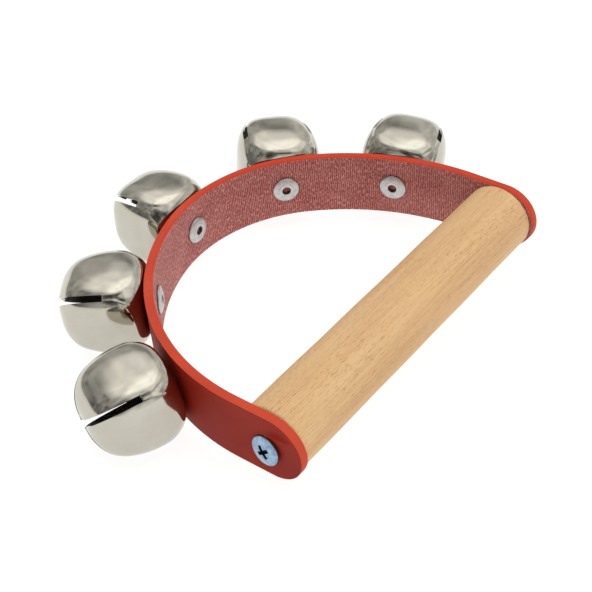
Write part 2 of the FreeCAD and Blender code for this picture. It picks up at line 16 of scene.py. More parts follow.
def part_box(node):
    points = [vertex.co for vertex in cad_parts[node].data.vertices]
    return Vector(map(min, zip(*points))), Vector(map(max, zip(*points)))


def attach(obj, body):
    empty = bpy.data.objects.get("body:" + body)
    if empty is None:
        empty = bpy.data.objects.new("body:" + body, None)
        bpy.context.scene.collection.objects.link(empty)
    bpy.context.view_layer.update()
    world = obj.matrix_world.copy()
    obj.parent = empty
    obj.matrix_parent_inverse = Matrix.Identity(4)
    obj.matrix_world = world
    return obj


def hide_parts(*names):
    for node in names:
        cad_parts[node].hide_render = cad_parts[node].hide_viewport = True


MM = 0.001
BELLS = range(1, 6)

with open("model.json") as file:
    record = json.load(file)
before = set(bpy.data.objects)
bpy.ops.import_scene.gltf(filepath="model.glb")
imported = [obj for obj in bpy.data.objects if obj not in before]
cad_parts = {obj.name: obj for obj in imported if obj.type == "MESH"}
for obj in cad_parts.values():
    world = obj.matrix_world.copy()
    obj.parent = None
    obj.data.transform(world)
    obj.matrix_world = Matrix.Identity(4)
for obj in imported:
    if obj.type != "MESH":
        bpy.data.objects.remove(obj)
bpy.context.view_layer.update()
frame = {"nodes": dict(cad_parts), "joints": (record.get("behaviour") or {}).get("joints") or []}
scene = bpy.context.scene

dowel_low, dowel_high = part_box("handle_dowel")
HANDLE_CENTRE = (dowel_low + dowel_high) / 2
DOWEL_LENGTH = dowel_high.x - dowel_low.x
DOWEL_RADIUS = (dowel_high.z - dowel_low.z) / 2
strap_low, strap_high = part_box("strap")
STRAP_WIDTH = strap_high.z - strap_low.z
STRAP_THICKNESS = (strap_high.x - strap_low.x - DOWEL_LENGTH) / 2
JOINTS = {joint["name"]: joint for joint in frame["joints"]}

# The strap's layers and the arcs of its centre line, left to right, as the CAD strap has them.
SKIN_THICKNESS = 2.2 * MM
STRAIGHT_TOP = 11.0 * MM
NEAR_RADIUS = 69.5 * MM
CROWN_RADIUS = 47.7 * MM
FAR_RADIUS = 79.5 * MM
TONGUE_CENTRE = -1.3 * MM
SCREW_LEVEL = -1.3 * MM


# ---------------------------------------------------------------- mesh helpers

def new_object(name, verts, faces, smooth=True, closed=True):
    """A mesh object from points and faces; a closed one has its faces turned outward."""
    mesh = bpy.data.meshes.new(name)
    mesh.from_pydata([tuple(v) for v in verts], [], faces)
    mesh.validate()
    item = bpy.data.objects.new(name, mesh)
    scene.collection.objects.link(item)
    tidy = bmesh.new()
    tidy.from_mesh(mesh)
    bmesh.ops.delete(tidy, geom=[v for v in tidy.verts if not v.link_faces], context="VERTS")
    if closed:
        bmesh.ops.recalc_face_normals(tidy, faces=tidy.faces)
    tidy.to_mesh(mesh)
    tidy.free()
    for polygon in mesh.polygons:
        polygon.use_smooth = smooth
    return item


def thicken(item, thickness, rim_slot=0, back_slot=0):
    """Gives a sheet its thickness, behind the modelled face."""
    solid = item.modifiers.new("thickness", "SOLIDIFY")
    solid.thickness = thickness
    solid.offset = -1
    solid.use_even_offset = True
    solid.material_offset = back_slot
    solid.material_offset_rim = rim_slot


def round_edges(item, width, segments=2, angle=40):
    """Rounds the edges sharper than an angle, and keeps the shading clean across them."""
    bevel = item.modifiers.new("rounded_edges", "BEVEL")
    bevel.width = width
    bevel.segments = segments
    bevel.limit_method = "ANGLE"
    bevel.angle_limit = math.radians(angle)
    normals = item.modifiers.new("clean_shading", "WEIGHTED_NORMAL")
    normals.keep_sharp = True


def turned(name, profile, segments, place):
    """A turned surface from a profile of (radius, height) points, set at a matrix."""
    verts, faces, rings = [], [], []
    for radius, height in profile:
        if radius < 1e-9:
            rings.append([len(verts)])
            verts.append(place @ Vector((0, 0, height)))
            continue
        rings.append(list(range(len(verts), len(verts) + segments)))
        for step in range(segments):
            angle = 2 * math.pi * step / segments
            verts.append(place @ Vector((radius * math.cos(angle), radius * math.sin(angle), height)))
    for lower, upper in zip(rings, rings[1:]):
        for step in range(segments):
            follower = (step + 1) % segments
            corners = [lower[step % len(lower)], lower[follower % len(lower)],
                       upper[follower % len(upper)], upper[step % len(upper)]]
            unique = list(dict.fromkeys(corners))
            if len(unique) > 2:
                faces.append(unique)
    return new_object(name, verts, faces)


def fillet(corner, before, after, radius, steps=5):
    """Points of a round that replaces a profile's corner between its two neighbours."""
    c, b, a = (Vector(p) for p in (corner, before, after))
    to_b, to_a = (b - c).normalized(), (a - c).normalized()
    half = to_b.angle(to_a) / 2
    reach = radius / math.tan(half)
    centre = c + (to_b + to_a).normalized() * radius / math.sin(half)
    start, end = c + to_b * reach - centre, c + to_a * reach - centre
    sweep = start.angle(end)
    points = []
    for step in range(steps + 1):
        share = step / steps
        point = (start * math.sin((1 - share) * sweep) + end * math.sin(share * sweep)) / math.sin(sweep)
        points.append(tuple(centre + point))
    return points


def rounded(profile, radii):
    """A closed profile in which each corner with a radius is rounded."""
    points = []
    count = len(profile)
    for index, (corner, radius) in enumerate(zip(profile, radii)):
        if radius:
            points += fillet(corner, profile[index - 1], profile[(index + 1) % count], radius)
        else:
            points.append(corner)
    return points


# ---------------------------------------------------------------- materials

class Graph:
    """Short calls for the nodes of a tree."""

    def __init__(self, tree):
        self.tree = tree

    def node(self, kind, inputs=None, **settings):
        item = self.tree.nodes.new(kind)
        for key, value in settings.items():
            setattr(item, key, value)
        for key, value in (inputs or {}).items():
            self.feed(item.inputs[key], value)
        return item

    def feed(self, socket, value):
        """Links a socket to another node's output, or sets its number."""
        if isinstance(value, bpy.types.NodeSocket):
            self.tree.links.new(value, socket)
        else:
            socket.default_value = value

    def coordinates(self, scale=(1, 1, 1), uv=None):
        """Scaled object coordinates, or a UV map's."""
        if uv:
            source = self.node("ShaderNodeUVMap", uv_map=uv).outputs["UV"]
        else:
            source = self.node("ShaderNodeTexCoord").outputs["Object"]
        return self.node("ShaderNodeMapping", {"Vector": source, "Scale": scale}).outputs["Vector"]

    def noise(self, vector, scale, detail=4.0, roughness=0.5):
        inputs = {"Vector": vector, "Scale": scale, "Detail": detail, "Roughness": roughness}
        return self.node("ShaderNodeTexNoise", inputs).outputs["Fac"]

    def ramp(self, factor, *stops):
        """A colour ramp of (position, colour) stops; a bare number is a grey."""
        item = self.node("ShaderNodeValToRGB", {"Fac": factor})
        elements = item.color_ramp.elements
        while len(elements) < len(stops):
            elements.new(0.5)
        for element, (position, colour) in zip(elements, stops):
            element.position = position
            grey = isinstance(colour, (int, float))
            element.color = (colour, colour, colour, 1) if grey else (*colour, 1)
        return item.outputs["Color"]

    def mix(self, factor, first, second, blend="MIX"):
        item = self.node("ShaderNodeMix", data_type="RGBA", blend_type=blend)
        self.feed(item.inputs[0], factor)
        for socket, value in ((item.inputs[6], first), (item.inputs[7], second)):
            self.feed(socket, (*value, 1) if isinstance(value, tuple) and len(value) == 3 else value)
        return item.outputs[2]

    def math(self, operation, first, second=0.0):
        item = self.node("ShaderNodeMath", operation=operation)
        self.feed(item.inputs[0], first)
        self.feed(item.inputs[1], second)
        return item.outputs[0]

    def bump(self, height, distance, strength=1.0, under=None):
        inputs = {"Height": height, "Distance": distance, "Strength": strength}
        if under is not None:
            inputs["Normal"] = under
        return self.node("ShaderNodeBump", inputs).outputs["Normal"]

    def facing(self, direction, towards):
        """Cosine of the angle between a direction and a fixed one."""
        inputs = {0: direction, 1: tuple(Vector(towards).normalized())}
        return self.node("ShaderNodeVectorMath", inputs, operation="DOT_PRODUCT").outputs["Value"]

    def smooth(self, value, start, end, height):
        """A smooth step from nothing at the start to a height at the end."""
        inputs = {"Value": value, "From Min": start, "From Max": end, "To Min": 0.0, "To Max": height}
        return self.node("ShaderNodeMapRange", inputs, interpolation_type="SMOOTHSTEP").outputs["Result"]


class Shader(Graph):
    """A node material with a Principled surface."""

    def __init__(self, name, **values):
        self.material = bpy.data.materials.new(name)
        self.material.use_nodes = True
        super().__init__(self.material.node_tree)
        self.surface = self.tree.nodes["Principled BSDF"]
        for key, value in values.items():
            self.surface.inputs[key.replace("_", " ")].default_value = value

    def wear(self, **sockets):
        """Feeds the surface's sockets."""
        for key, value in sockets.items():
            self.feed(self.surface.inputs[key.replace("_", " ")], value)
        return self.material


def beech():
    """Sanded beech: warm pale wood with short dark flecks and soft growth bands along X."""
    s = Shader("beech", IOR=1.45, Specular_IOR_Level=0.3)
    band = s.noise(s.coordinates((6, 90, 90)), 1.6, 3.0, 0.55)
    deep, pale, palest = (0.62, 0.358, 0.160), (0.715, 0.445, 0.212), (0.77, 0.51, 0.262)
    tone = s.ramp(band, (0.3, deep), (0.5, pale), (0.72, palest))
    blotch = s.noise(s.coordinates((14, 40, 40)), 1.0, 2.0)
    tone = s.mix(s.ramp(blotch, (0.45, 0.0), (0.75, 0.5)), tone, (0.74, 0.43, 0.22))
    fleck = s.noise(s.coordinates((520, 4300, 4300)), 1.0, 1.0, 0.4)
    mask = s.ramp(fleck, (0.60, 0.0), (0.66, 0.9))
    patch = s.ramp(s.noise(s.coordinates((30, 120, 120)), 1.0, 2.0), (0.36, 0.35), (0.60, 0.95))
    mask = s.math("MULTIPLY", mask, patch)
    tone = s.mix(mask, tone, (0.47, 0.23, 0.085))
    fibre = s.noise(s.coordinates((60, 3800, 3800)), 1.0, 3.0, 0.6)
    tone = s.mix(s.ramp(fibre, (0.35, 0.0), (0.65, 0.35)), tone, (0.86, 0.62, 0.355))
    tone = s.mix(s.ramp(fibre, (0.32, 0.4), (0.45, 0.0)), tone, (0.55, 0.30, 0.13))
    grain = s.bump(fibre, 0.03 * MM, 0.5)
    pores = s.bump(s.math("MULTIPLY", mask, -1.0), 0.05 * MM, 0.6, grain)
    rough = s.ramp(fibre, (0.3, 0.50), (0.7, 0.62))
    return s.wear(Base_Color=tone, Roughness=rough, Normal=pores)


def leather(name, dark, light, roughness):
    """Smooth coated leather: faint pebble, fine crazing and slow colour drift."""
    s = Shader(name, IOR=1.47, Specular_IOR_Level=0.13)
    drift = s.noise(s.coordinates(), 55.0, 3.0)
    tone = s.mix(s.ramp(drift, (0.35, 0.0), (0.7, 1.0)), dark, light)
    pebble = s.noise(s.coordinates(), 2600.0, 4.0, 0.6)
    crazing = s.node("ShaderNodeTexVoronoi", {"Vector": s.coordinates(), "Scale": 1500.0},
                     feature="DISTANCE_TO_EDGE").outputs["Distance"]
    tone = s.mix(s.ramp(pebble, (0.42, 0.10), (0.6, 0.0)), tone, (0.16, 0.02, 0.015))
    fine = s.bump(pebble, 0.03 * MM, 0.35)
    cells = s.bump(s.ramp(crazing, (0.0, 0.0), (0.12, 1.0)), 0.02 * MM, 0.25, fine)
    rough = s.ramp(pebble, (0.3, roughness), (0.7, roughness + 0.12))
    return s.wear(Base_Color=tone, Roughness=rough, Normal=cells)


def woven():
    """The cotton backing dyed through: ribs across the strap, finer threads along it, pale flecks. The rib
    troughs are painted darker as painted shade and the rib crests paler as painted highlight, following the
    relief of the bump.
    """
    s = Shader("woven_backing", IOR=1.5, Sheen_Weight=0.15, Sheen_Roughness=0.5)
    thread = 0.68 * MM
    pick = 0.52 * MM
    wander = s.noise(s.coordinates((220, 120, 1), uv="cloth"), 1.0, 2.0)
    place = s.node("ShaderNodeSeparateXYZ", {"Vector": s.coordinates(uv="cloth")})
    along = s.math("ADD", s.math("DIVIDE", place.outputs["X"], thread), s.math("MULTIPLY", wander, 1.1))
    across = s.math("ADD", s.math("DIVIDE", place.outputs["Y"], pick), s.math("MULTIPLY", wander, 0.9))
    turn = 2 * math.pi
    rib = s.math("SINE", s.math("MULTIPLY", along, turn))
    weft = s.math("SINE", s.math("MULTIPLY", across, turn))
    cross = s.math("MULTIPLY", s.math("SINE", s.math("MULTIPLY", along, turn / 2)), weft)
    relief = s.math("ADD", s.math("MULTIPLY", rib, 0.75), s.math("MULTIPLY", cross, 0.35))
    fuzz = s.noise(s.coordinates(uv="cloth"), 3900.0, 2.0, 0.7)
    speck = s.noise(s.coordinates((1.0, 0.4, 1), uv="cloth"), 2100.0, 2.0, 0.6)
    cloud = s.noise(s.coordinates(uv="cloth"), 110.0, 4.0, 0.6)
    tone = s.mix(s.ramp(cloud, (0.36, 0.0), (0.66, 1.0)), (0.46, 0.080, 0.070), (0.68, 0.225, 0.200))
    # Painted shade in the rib troughs where the relief is low, then a painted highlight on the rib crests
    # where it is high.
    tone = s.mix(s.ramp(relief, (0.0, 0.8), (0.5, 0.0)), tone, (0.22, 0.026, 0.022))
    tone = s.mix(s.ramp(relief, (0.45, 0.0), (0.9, 0.35)), tone, (0.84, 0.45, 0.40))
    tone = s.mix(s.ramp(speck, (0.50, 0.0), (0.64, 0.6)), tone, (0.82, 0.42, 0.38))
    tone = s.mix(s.ramp(speck, (0.34, 0.6), (0.44, 0.0)), tone, (0.26, 0.045, 0.042))
    tone = s.mix(s.ramp(fuzz, (0.60, 0.0), (0.72, 0.6)), tone, (0.78, 0.48, 0.43))
    tone = s.mix(s.ramp(fuzz, (0.28, 0.5), (0.38, 0.0)), tone, (0.20, 0.025, 0.025))
    height = s.math("ADD", relief, s.math("MULTIPLY", fuzz, 1.2))
    return s.wear(Base_Color=tone, Roughness=0.88, Normal=s.bump(height, 0.09 * MM, 0.9))


def nickel():
    """Bright nickel plate on pressed steel: faint orange peel, polishing haze and fine scratches."""
    s = Shader("nickel_plate", Metallic=1.0)
    haze = s.noise(s.coordinates(), 160.0, 3.0)
    tone = s.ramp(haze, (0.3, (0.50, 0.476, 0.405)), (0.7, (0.535, 0.51, 0.44)))
    scratch = s.noise(s.coordinates((300, 2500, 900)), 1.0, 3.0, 0.6)
    rough = s.ramp(scratch, (0.35, 0.07), (0.75, 0.14))
    peel = s.bump(s.noise(s.coordinates(), 420.0, 2.0), 0.02 * MM, 0.35)
    return s.wear(Base_Color=tone, Roughness=rough, Normal=peel)


def dull_steel(name, tone, roughness):
    """Unpolished steel, blotched and slightly rough."""
    s = Shader(name, Metallic=1.0)
    blotch = s.noise(s.coordinates(), 700.0, 4.0, 0.6)
    dark = tuple(channel * 0.72 for channel in tone)
    colour = s.mix(s.ramp(blotch, (0.35, 0.0), (0.7, 1.0)), dark, tone)
    rough = s.ramp(blotch, (0.3, roughness), (0.7, roughness + 0.15))
    return s.wear(Base_Color=colour, Roughness=rough, Normal=s.bump(blotch, 0.03 * MM, 0.4))


def blue_zinc():
    """Bright blue-passivated zinc: mottled cool plate with a faint iridescence."""
    s = Shader("blue_zinc", Metallic=1.0)
    mottle = s.noise(s.coordinates(), 520.0, 4.0, 0.6)
    tone = s.ramp(mottle, (0.32, (0.17, 0.26, 0.39)), (0.5, (0.27, 0.39, 0.53)), (0.7, (0.40, 0.51, 0.62)))
    rough = s.ramp(mottle, (0.3, 0.16), (0.7, 0.28))
    return s.wear(Base_Color=tone, Roughness=rough, Normal=s.bump(mottle, 0.03 * MM, 0.4))


def give(item, *materials):
    """Puts materials in an object's slots, in order."""
    item.data.materials.clear()
    for material in materials:
        item.data.materials.append(material)


# ---------------------------------------------------------------- strap

def strap_arcs():
    """Half span, the three (centre, radius) arcs, and the angles where they join."""
    half_span = (DOWEL_LENGTH + STRAP_THICKNESS) / 2
    near_centre = Vector((NEAR_RADIUS - half_span, STRAIGHT_TOP))
    far_centre = Vector((half_span - FAR_RADIUS, STRAIGHT_TOP))
    reach_near, reach_far = NEAR_RADIUS - CROWN_RADIUS, FAR_RADIUS - CROWN_RADIUS
    apart = near_centre.x - far_centre.x
    along = (reach_near ** 2 - reach_far ** 2 + apart ** 2) / (2 * apart)
    crown_centre = near_centre + Vector((-along, math.sqrt(reach_near ** 2 - along ** 2)))
    to_near, to_far = crown_centre - near_centre, crown_centre - far_centre
    left, right = math.atan2(to_near.y, to_near.x), math.atan2(to_far.y, to_far.x)
    arcs = ((near_centre, NEAR_RADIUS, math.pi, left), (crown_centre, CROWN_RADIUS, left, right),
            (far_centre, FAR_RADIUS, right, 0.0))
    return half_span, arcs


def strap_station(distance):
    """Centre-line point and outward normal at a distance from the level of the left screw."""
    half_span, arcs = strap_arcs()
    if distance < STRAIGHT_TOP:
        return Vector((-half_span, distance)), Vector((-1, 0))
    distance -= STRAIGHT_TOP
    for centre, radius, start, end in arcs:
        stretch = radius * (start - end)
        if distance <= stretch:
            angle = start - distance / radius
            normal = Vector((math.cos(angle), math.sin(angle)))
            return centre + normal * radius, normal
        distance -= stretch
    return Vector((half_span, STRAIGHT_TOP - distance)), Vector((1, 0))


def strap_length():
    """Centre-line length between the two screws."""
    _, arcs = strap_arcs()
    return 2 * STRAIGHT_TOP + sum(radius * (start - end) for _, radius, start, end in arcs)


def pucker(below_screw, height):
    """How far the screw head pulls the skin in, and the fold it pushes up beside itself."""
    away = math.hypot(below_screw, height - SCREW_LEVEL)
    dent = -0.5 * MM * math.exp(-(away / (6.0 * MM)) ** 2)
    start, end = Vector((0.2, 3.9)) * MM, Vector((7.4, 5.2)) * MM
    run = end - start
    point = Vector((below_screw, height))
    share = min(1.0, max(0.0, (point - start).dot(run) / run.length_squared))
    bow = 0.9 * MM * math.sin(math.pi * share)
    side = (point - start).dot(Vector((-run.y, run.x)).normalized()) - bow
    beyond = (point - start - run * share).length if share in (0.0, 1.0) else 0.0
    fold = 1.1 * MM * math.sin(math.pi * min(1, 0.12 + share * 0.8)) ** 0.8
    slope = 0.85 * MM if side > 0 else 0.32 * MM
    return dent + fold * math.exp(-(side / slope) ** 2) * math.exp(-(beyond / (0.9 * MM)) ** 2)


def strap_sheet(name, offset, inset, dented):
    """A sheet bent round the strap's centre line at an offset, its ends rounded, with a cloth UV map.

    The sheet's first and last columns are wide enough for its edges to be rounded, and the rest are fine.
    """
    half_width = STRAP_WIDTH / 2 - inset
    tip = TONGUE_CENTRE - STRAP_WIDTH / 2 + inset
    length = strap_length()
    border = 0.05
    inner_steps = 80
    inner = [(1 - border) * (2 * step / inner_steps - 1) for step in range(inner_steps + 1)]
    shares = [-1.0] + inner + [1.0]
    columns = len(shares) - 1
    rows = []
    round_steps = 52
    for step in range(round_steps):
        angle = math.radians(3) + (math.pi / 2 - math.radians(3)) * step / round_steps
        rows.append((tip + half_width * (1 - math.cos(angle)), half_width * math.sin(angle)))
    first, last = tip + half_width, length - tip - half_width
    steps = int((last - first) / (0.9 * MM))
    rows += [(first + (last - first) * step / steps, half_width) for step in range(steps + 1)]
    rows += [(length - distance, width) for distance, width in reversed(rows[:round_steps])]
    verts, coords, faces = [], [], []
    for distance, width in rows:
        point, normal = strap_station(distance)
        for share in shares:
            height = width * share
            lift = offset
            if dented:
                lift += pucker(-distance, height) + pucker(distance - length, height)
            place = point + normal * lift
            verts.append(HANDLE_CENTRE + Vector((place.x, place.y, height)))
            coords.append((distance, height))
    for row in range(len(rows) - 1):
        for column in range(columns):
            corner = row * (columns + 1) + column
            faces.append((corner, corner + 1, corner + columns + 2, corner + columns + 1))
    item = new_object(name, verts, faces, closed=False)
    layer = item.data.uv_layers.new(name="cloth")
    for loop in item.data.loops:
        layer.data[loop.index].uv = coords[loop.vertex_index]
    return item


def make_strap():
    """The leather skin with its painted edges, and the woven lining bonded inside it. The edges' lighter
    orange is partly real edge paint and partly painted light: a lit copy of the face's leather standing in
    for the brighter light on the upward edges, and the lining's rim takes it too.
    """
    skin = strap_sheet("strap_skin", STRAP_THICKNESS / 2, 0.0, True)
    thicken(skin, SKIN_THICKNESS, rim_slot=1)
    round_edges(skin, 0.45 * MM, 3)
    # Partly real edge paint, partly painted light: the edge leather is a lighter copy of the face's, for the
    # brighter light falling on the upward edges.
    edge = leather("leather_edge_paint_and_painted_light", (0.58, 0.060, 0.028), (0.68, 0.082, 0.040), 0.55)
    give(
        skin,
        leather("leather_face", (0.30, 0.017, 0.006), (0.36, 0.026, 0.010), 0.5),
        edge,
    )
    lining = strap_sheet("strap_backing", STRAP_THICKNESS / 2 - SKIN_THICKNESS, 0.06 * MM, False)
    thicken(lining, STRAP_THICKNESS - SKIN_THICKNESS, rim_slot=1)
    round_edges(lining, 0.12 * MM, 2)
    give(lining, woven(), edge)
    for item, node, slot in ((skin, "strap", "strap_skin"), (lining, "strap_lining", "woven_backing")):
        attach(item, "frame")
        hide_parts(node)


# ---------------------------------------------------------------- handle and screws

def make_dowel():
    """The beech handle: a long turned bar with eased rims, very slightly uneven along its length."""
    half, radius, ease = DOWEL_LENGTH / 2, DOWEL_RADIUS, 0.8 * MM
    profile = [(0.0, -half), (radius / 2, -half)]
    profile += fillet((radius, -half), (0, -half), (radius, 0), ease)
    stations = 40
    for step in range(1, stations):
        height = -half + ease + (DOWEL_LENGTH - 2 * ease) * step / stations
        profile.append((radius - 0.04 * MM * (1 + math.sin(height * 190)), height))
    profile += fillet((radius, half), (radius, 0), (0, half), ease)
    profile += [(radius / 2, half), (0.0, half)]
    lying = Matrix.Translation(HANDLE_CENTRE) @ Matrix.Rotation(math.pi / 2, 4, "Y")
    dowel = turned("handle", profile, 128, lying)
    give(dowel, beech())
    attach(dowel, "frame")
    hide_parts("handle_dowel")


def cross_cutter(reach, width, depth, place):
    """A tapering cross that cuts the driver recess."""
    outline = []
    for quarter in range(4):
        turn = Matrix.Rotation(math.pi / 2 * quarter, 2)
        arm = ((width / 2, width / 2), (reach, width / 2), (reach, -width / 2))
        outline += [turn @ Vector(point) for point in arm]
    ordered = sorted(outline, key=lambda point: math.atan2(point.y, point.x))
    verts = []
    for height, scale in ((depth, 1.08), (-depth, 0.62)):
        verts += [place @ Vector((point.x * scale, point.y * scale, height)) for point in ordered]
    count = len(ordered)
    faces = [tuple(range(count)), tuple(range(2 * count - 1, count - 1, -1))]
    for index in range(count):
        follower = (index + 1) % count
        faces.append((index, count + index, count + follower, follower))
    return new_object("cross_cutter", verts, faces, smooth=False)


def screw_profile(radius, height):
    """Half the outline of a truss head on a stub of shank: a low dome over a thin upright rim."""
    rim = 0.8 * MM
    rise = height - rim
    dome = (radius ** 2 + rise ** 2) / (2 * rise)
    top_angle = math.asin(radius / dome)
    steps = 14
    shank_radius, shank, under = 1.9 * MM, 3.0 * MM, -0.1 * MM
    profile = [(0.0, -shank), (shank_radius, -shank), (shank_radius, under), (radius - 0.25 * MM, under),
               (radius, under + 0.2 * MM)]
    crown = []
    for step in range(1, steps):
        angle = top_angle * (1 - step / steps)
        crown.append((dome * math.sin(angle), height - dome * (1 - math.cos(angle))))
    profile += fillet((radius, rim), profile[-1], crown[0], 0.22 * MM)
    return profile + crown + [(0.0, height)]


def make_screw(side, sign, plate, dark):
    """A truss-head screw with a driver recess, seated a little askew so one side stands proud."""
    node = f"end_screw_{side}"
    low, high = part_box(node)
    head_radius = (high.z - low.z) / 2
    seat = sign * (DOWEL_LENGTH / 2 + STRAP_THICKNESS)
    outer = high.x - HANDLE_CENTRE.x if sign > 0 else low.x - HANDLE_CENTRE.x
    head_height = abs(outer - seat)
    centre = Vector((seat, 0, (low.z + high.z) / 2 - HANDLE_CENTRE.z))
    nod, swing = math.radians(-sign * 6), math.radians(sign * 4)
    askew = Matrix.Rotation(nod, 4, "Y") @ Matrix.Rotation(swing, 4, "Z")
    place = Matrix.Translation(HANDLE_CENTRE + centre) @ askew @ Matrix.Rotation(sign * math.pi / 2, 4, "Y")
    head = turned(f"screw_{side}", screw_profile(head_radius, head_height), 72, place)
    recess_turn = Matrix.Rotation(math.radians(38), 4, "Z")
    cutter_place = place @ Matrix.Translation((0, 0, head_height)) @ recess_turn
    cutter = cross_cutter(2.6 * MM, 1.35 * MM, 1.25 * MM, cutter_place)
    give(head, plate)
    # The recess takes the cutter's dark material, painted shade for its depth.
    give(cutter, dark)
    cut = head.modifiers.new("recess", "BOOLEAN")
    cut.object = cutter
    cut.solver = "EXACT"
    cut.material_mode = "TRANSFER"
    bpy.context.view_layer.update()
    carved = bpy.data.meshes.new_from_object(head.evaluated_get(bpy.context.evaluated_depsgraph_get()))
    head.modifiers.clear()
    head.data = carved
    bpy.data.objects.remove(cutter)
    round_edges(head, 0.1 * MM, 2, 35)
    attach(head, "frame")
    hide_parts(node)


# ---------------------------------------------------------------- bells

BELL_GAP = 0.15 * MM
BELL_WALL = 0.7 * MM
BELL_HALF_WIDTH = 13.8 * MM
BELL_HEIGHT = 26.7 * MM
BELL_WIDEST = 10.0 * MM
BASE_ROUND = 4.0 * MM
SIDE_ROUND = 30.0 * MM
TIP_ROUND = 10.5 * MM
SLIT_START = 11.6 * MM
SLIT_WIDTH = 2.0 * MM
SLIT_MOUTH = 2.2 * MM
SHANK_RADIUS = 2.0 * MM
SQUARENESS = 3.1
FLAT_RADIUS = 9.1 * MM
RIVET_PLAY = 1.6 * MM


def rivet_seat(number):
    """The matrix of a rivet's seat on the strap's face: Z out of the strap, Y up."""
    swivel = JOINTS[f"bell_{number}_swivel"]
    z = Vector(swivel["axis"]).normalized()
    y = Vector((0, 0, 1))
    place = Matrix((y.cross(z), y, z)).transposed().to_4x4()
    place.translation = Vector(swivel["pos_m"])
    return place


def bell_seat(number):
    """The matrix of a bell, turned and leaning on its rivet: Y across the lowest petal."""
    swivel = JOINTS[f"bell_{number}_swivel"]
    out = Vector(swivel["axis"]).normalized()
    y = Vector(JOINTS[f"ball_{number}_rattle"]["axis"]).normalized()
    x = y.cross(out).normalized()
    z = x.cross(y)
    lift = FLAT_RADIUS * abs(y.dot(out))
    pivot = BELL_GAP + BELL_WALL / 2
    place = Matrix((x, y, z)).transposed().to_4x4()
    place.translation = Vector(swivel["pos_m"]) + out * (lift + pivot) - z * pivot
    return place


def arc_points(centre, radius, start, end, steps):
    """Points along an arc, both ends included."""
    angles = [start + (end - start) * step / steps for step in range(steps + 1)]
    return [(centre[0] + radius * math.cos(angle), centre[1] + radius * math.sin(angle)) for angle in angles]


def bell_profile():
    """Rows of (half width, height) from the rivet's hole up the outside to the pole."""
    low, top = BELL_GAP, BELL_GAP + BELL_HEIGHT
    middle = BELL_HALF_WIDTH - SIDE_ROUND
    widest = BELL_GAP + BELL_WIDEST
    base_x = middle + math.sqrt((SIDE_ROUND - BASE_ROUND) ** 2 - (widest - low - BASE_ROUND) ** 2)
    tip_x = middle + math.sqrt((SIDE_ROUND - TIP_ROUND) ** 2 - (top - TIP_ROUND - widest) ** 2)
    lower = math.atan2(low + BASE_ROUND - widest, base_x - middle)
    slit = math.asin((SLIT_START - widest) / SIDE_ROUND)
    upper = math.atan2(top - TIP_ROUND - widest, tip_x - middle)
    hole = SHANK_RADIUS + 0.15 * MM
    rows = [(hole + (base_x - hole) * step / 3, low) for step in range(3)]
    rows += arc_points((base_x, low + BASE_ROUND), BASE_ROUND, -math.pi / 2, lower, 8)[:-1]
    rows += arc_points((middle, widest), SIDE_ROUND, lower, slit, 14)
    cut = len(rows) - 1
    rows += arc_points((middle, widest), SIDE_ROUND, slit, upper, 9)[1:]
    tip = SLIT_MOUTH / math.sqrt(2) + 0.6 * MM
    last = math.acos((tip - tip_x) / TIP_ROUND) if tip > tip_x else math.pi / 2
    rows += arc_points((tip_x, top - TIP_ROUND), TIP_ROUND, upper, last, 12)[1:]
    return rows, cut


def section_reach(angle, half_width, height):
    """Distance from the axis to the wall: a circle at the base, a rounded square above it."""
    rise = min(1.0, max(0.0, height / (7.0 * MM)))
    power = 2.0 + (SQUARENESS - 2.0) * rise * rise * (3 - 2 * rise)
    return half_width / (abs(math.cos(angle)) ** power + abs(math.sin(angle)) ** power) ** (1 / power)


def slit_angle(half_width, height):
    """How far round from its middle a petal reaches before the slit on the corner."""
    share = min(1.0, max(0.0, (height - SLIT_START) / (BELL_GAP + BELL_HEIGHT - SLIT_START)))
    half_slit = (SLIT_WIDTH + (SLIT_MOUTH - SLIT_WIDTH) * share) / 2
    low, high = 0.0, math.pi / 4
    for _ in range(40):
        angle = (low + high) / 2
        if section_reach(angle, half_width, height) * math.sin(math.pi / 4 - angle) > half_slit:
            low = angle
        else:
            high = angle
    return low


def gusset(across, height):
    """Depth of the crease below a slit, which splits into a small three-cornered facet."""
    below = SLIT_START - height
    if below < 0 or height < 1.0 * MM:
        return 0.0
    split, foot = 2.8 * MM, 8.4 * MM
    fade = min(1.0, (height - 1.0 * MM) / (2.5 * MM))
    if below < split:
        return 0.24 * MM * math.exp(-(across / (0.4 * MM)) ** 2) * min(1.0, 0.45 + below / split)
    spread = 2.3 * MM * (below - split) / (foot - split)
    edge = abs(across) - spread
    line = 0.10 * MM * math.exp(-(edge / (0.35 * MM)) ** 2)
    facet = 0.18 * MM / (1 + math.exp(edge / (0.16 * MM)))
    return (line + facet) * fade


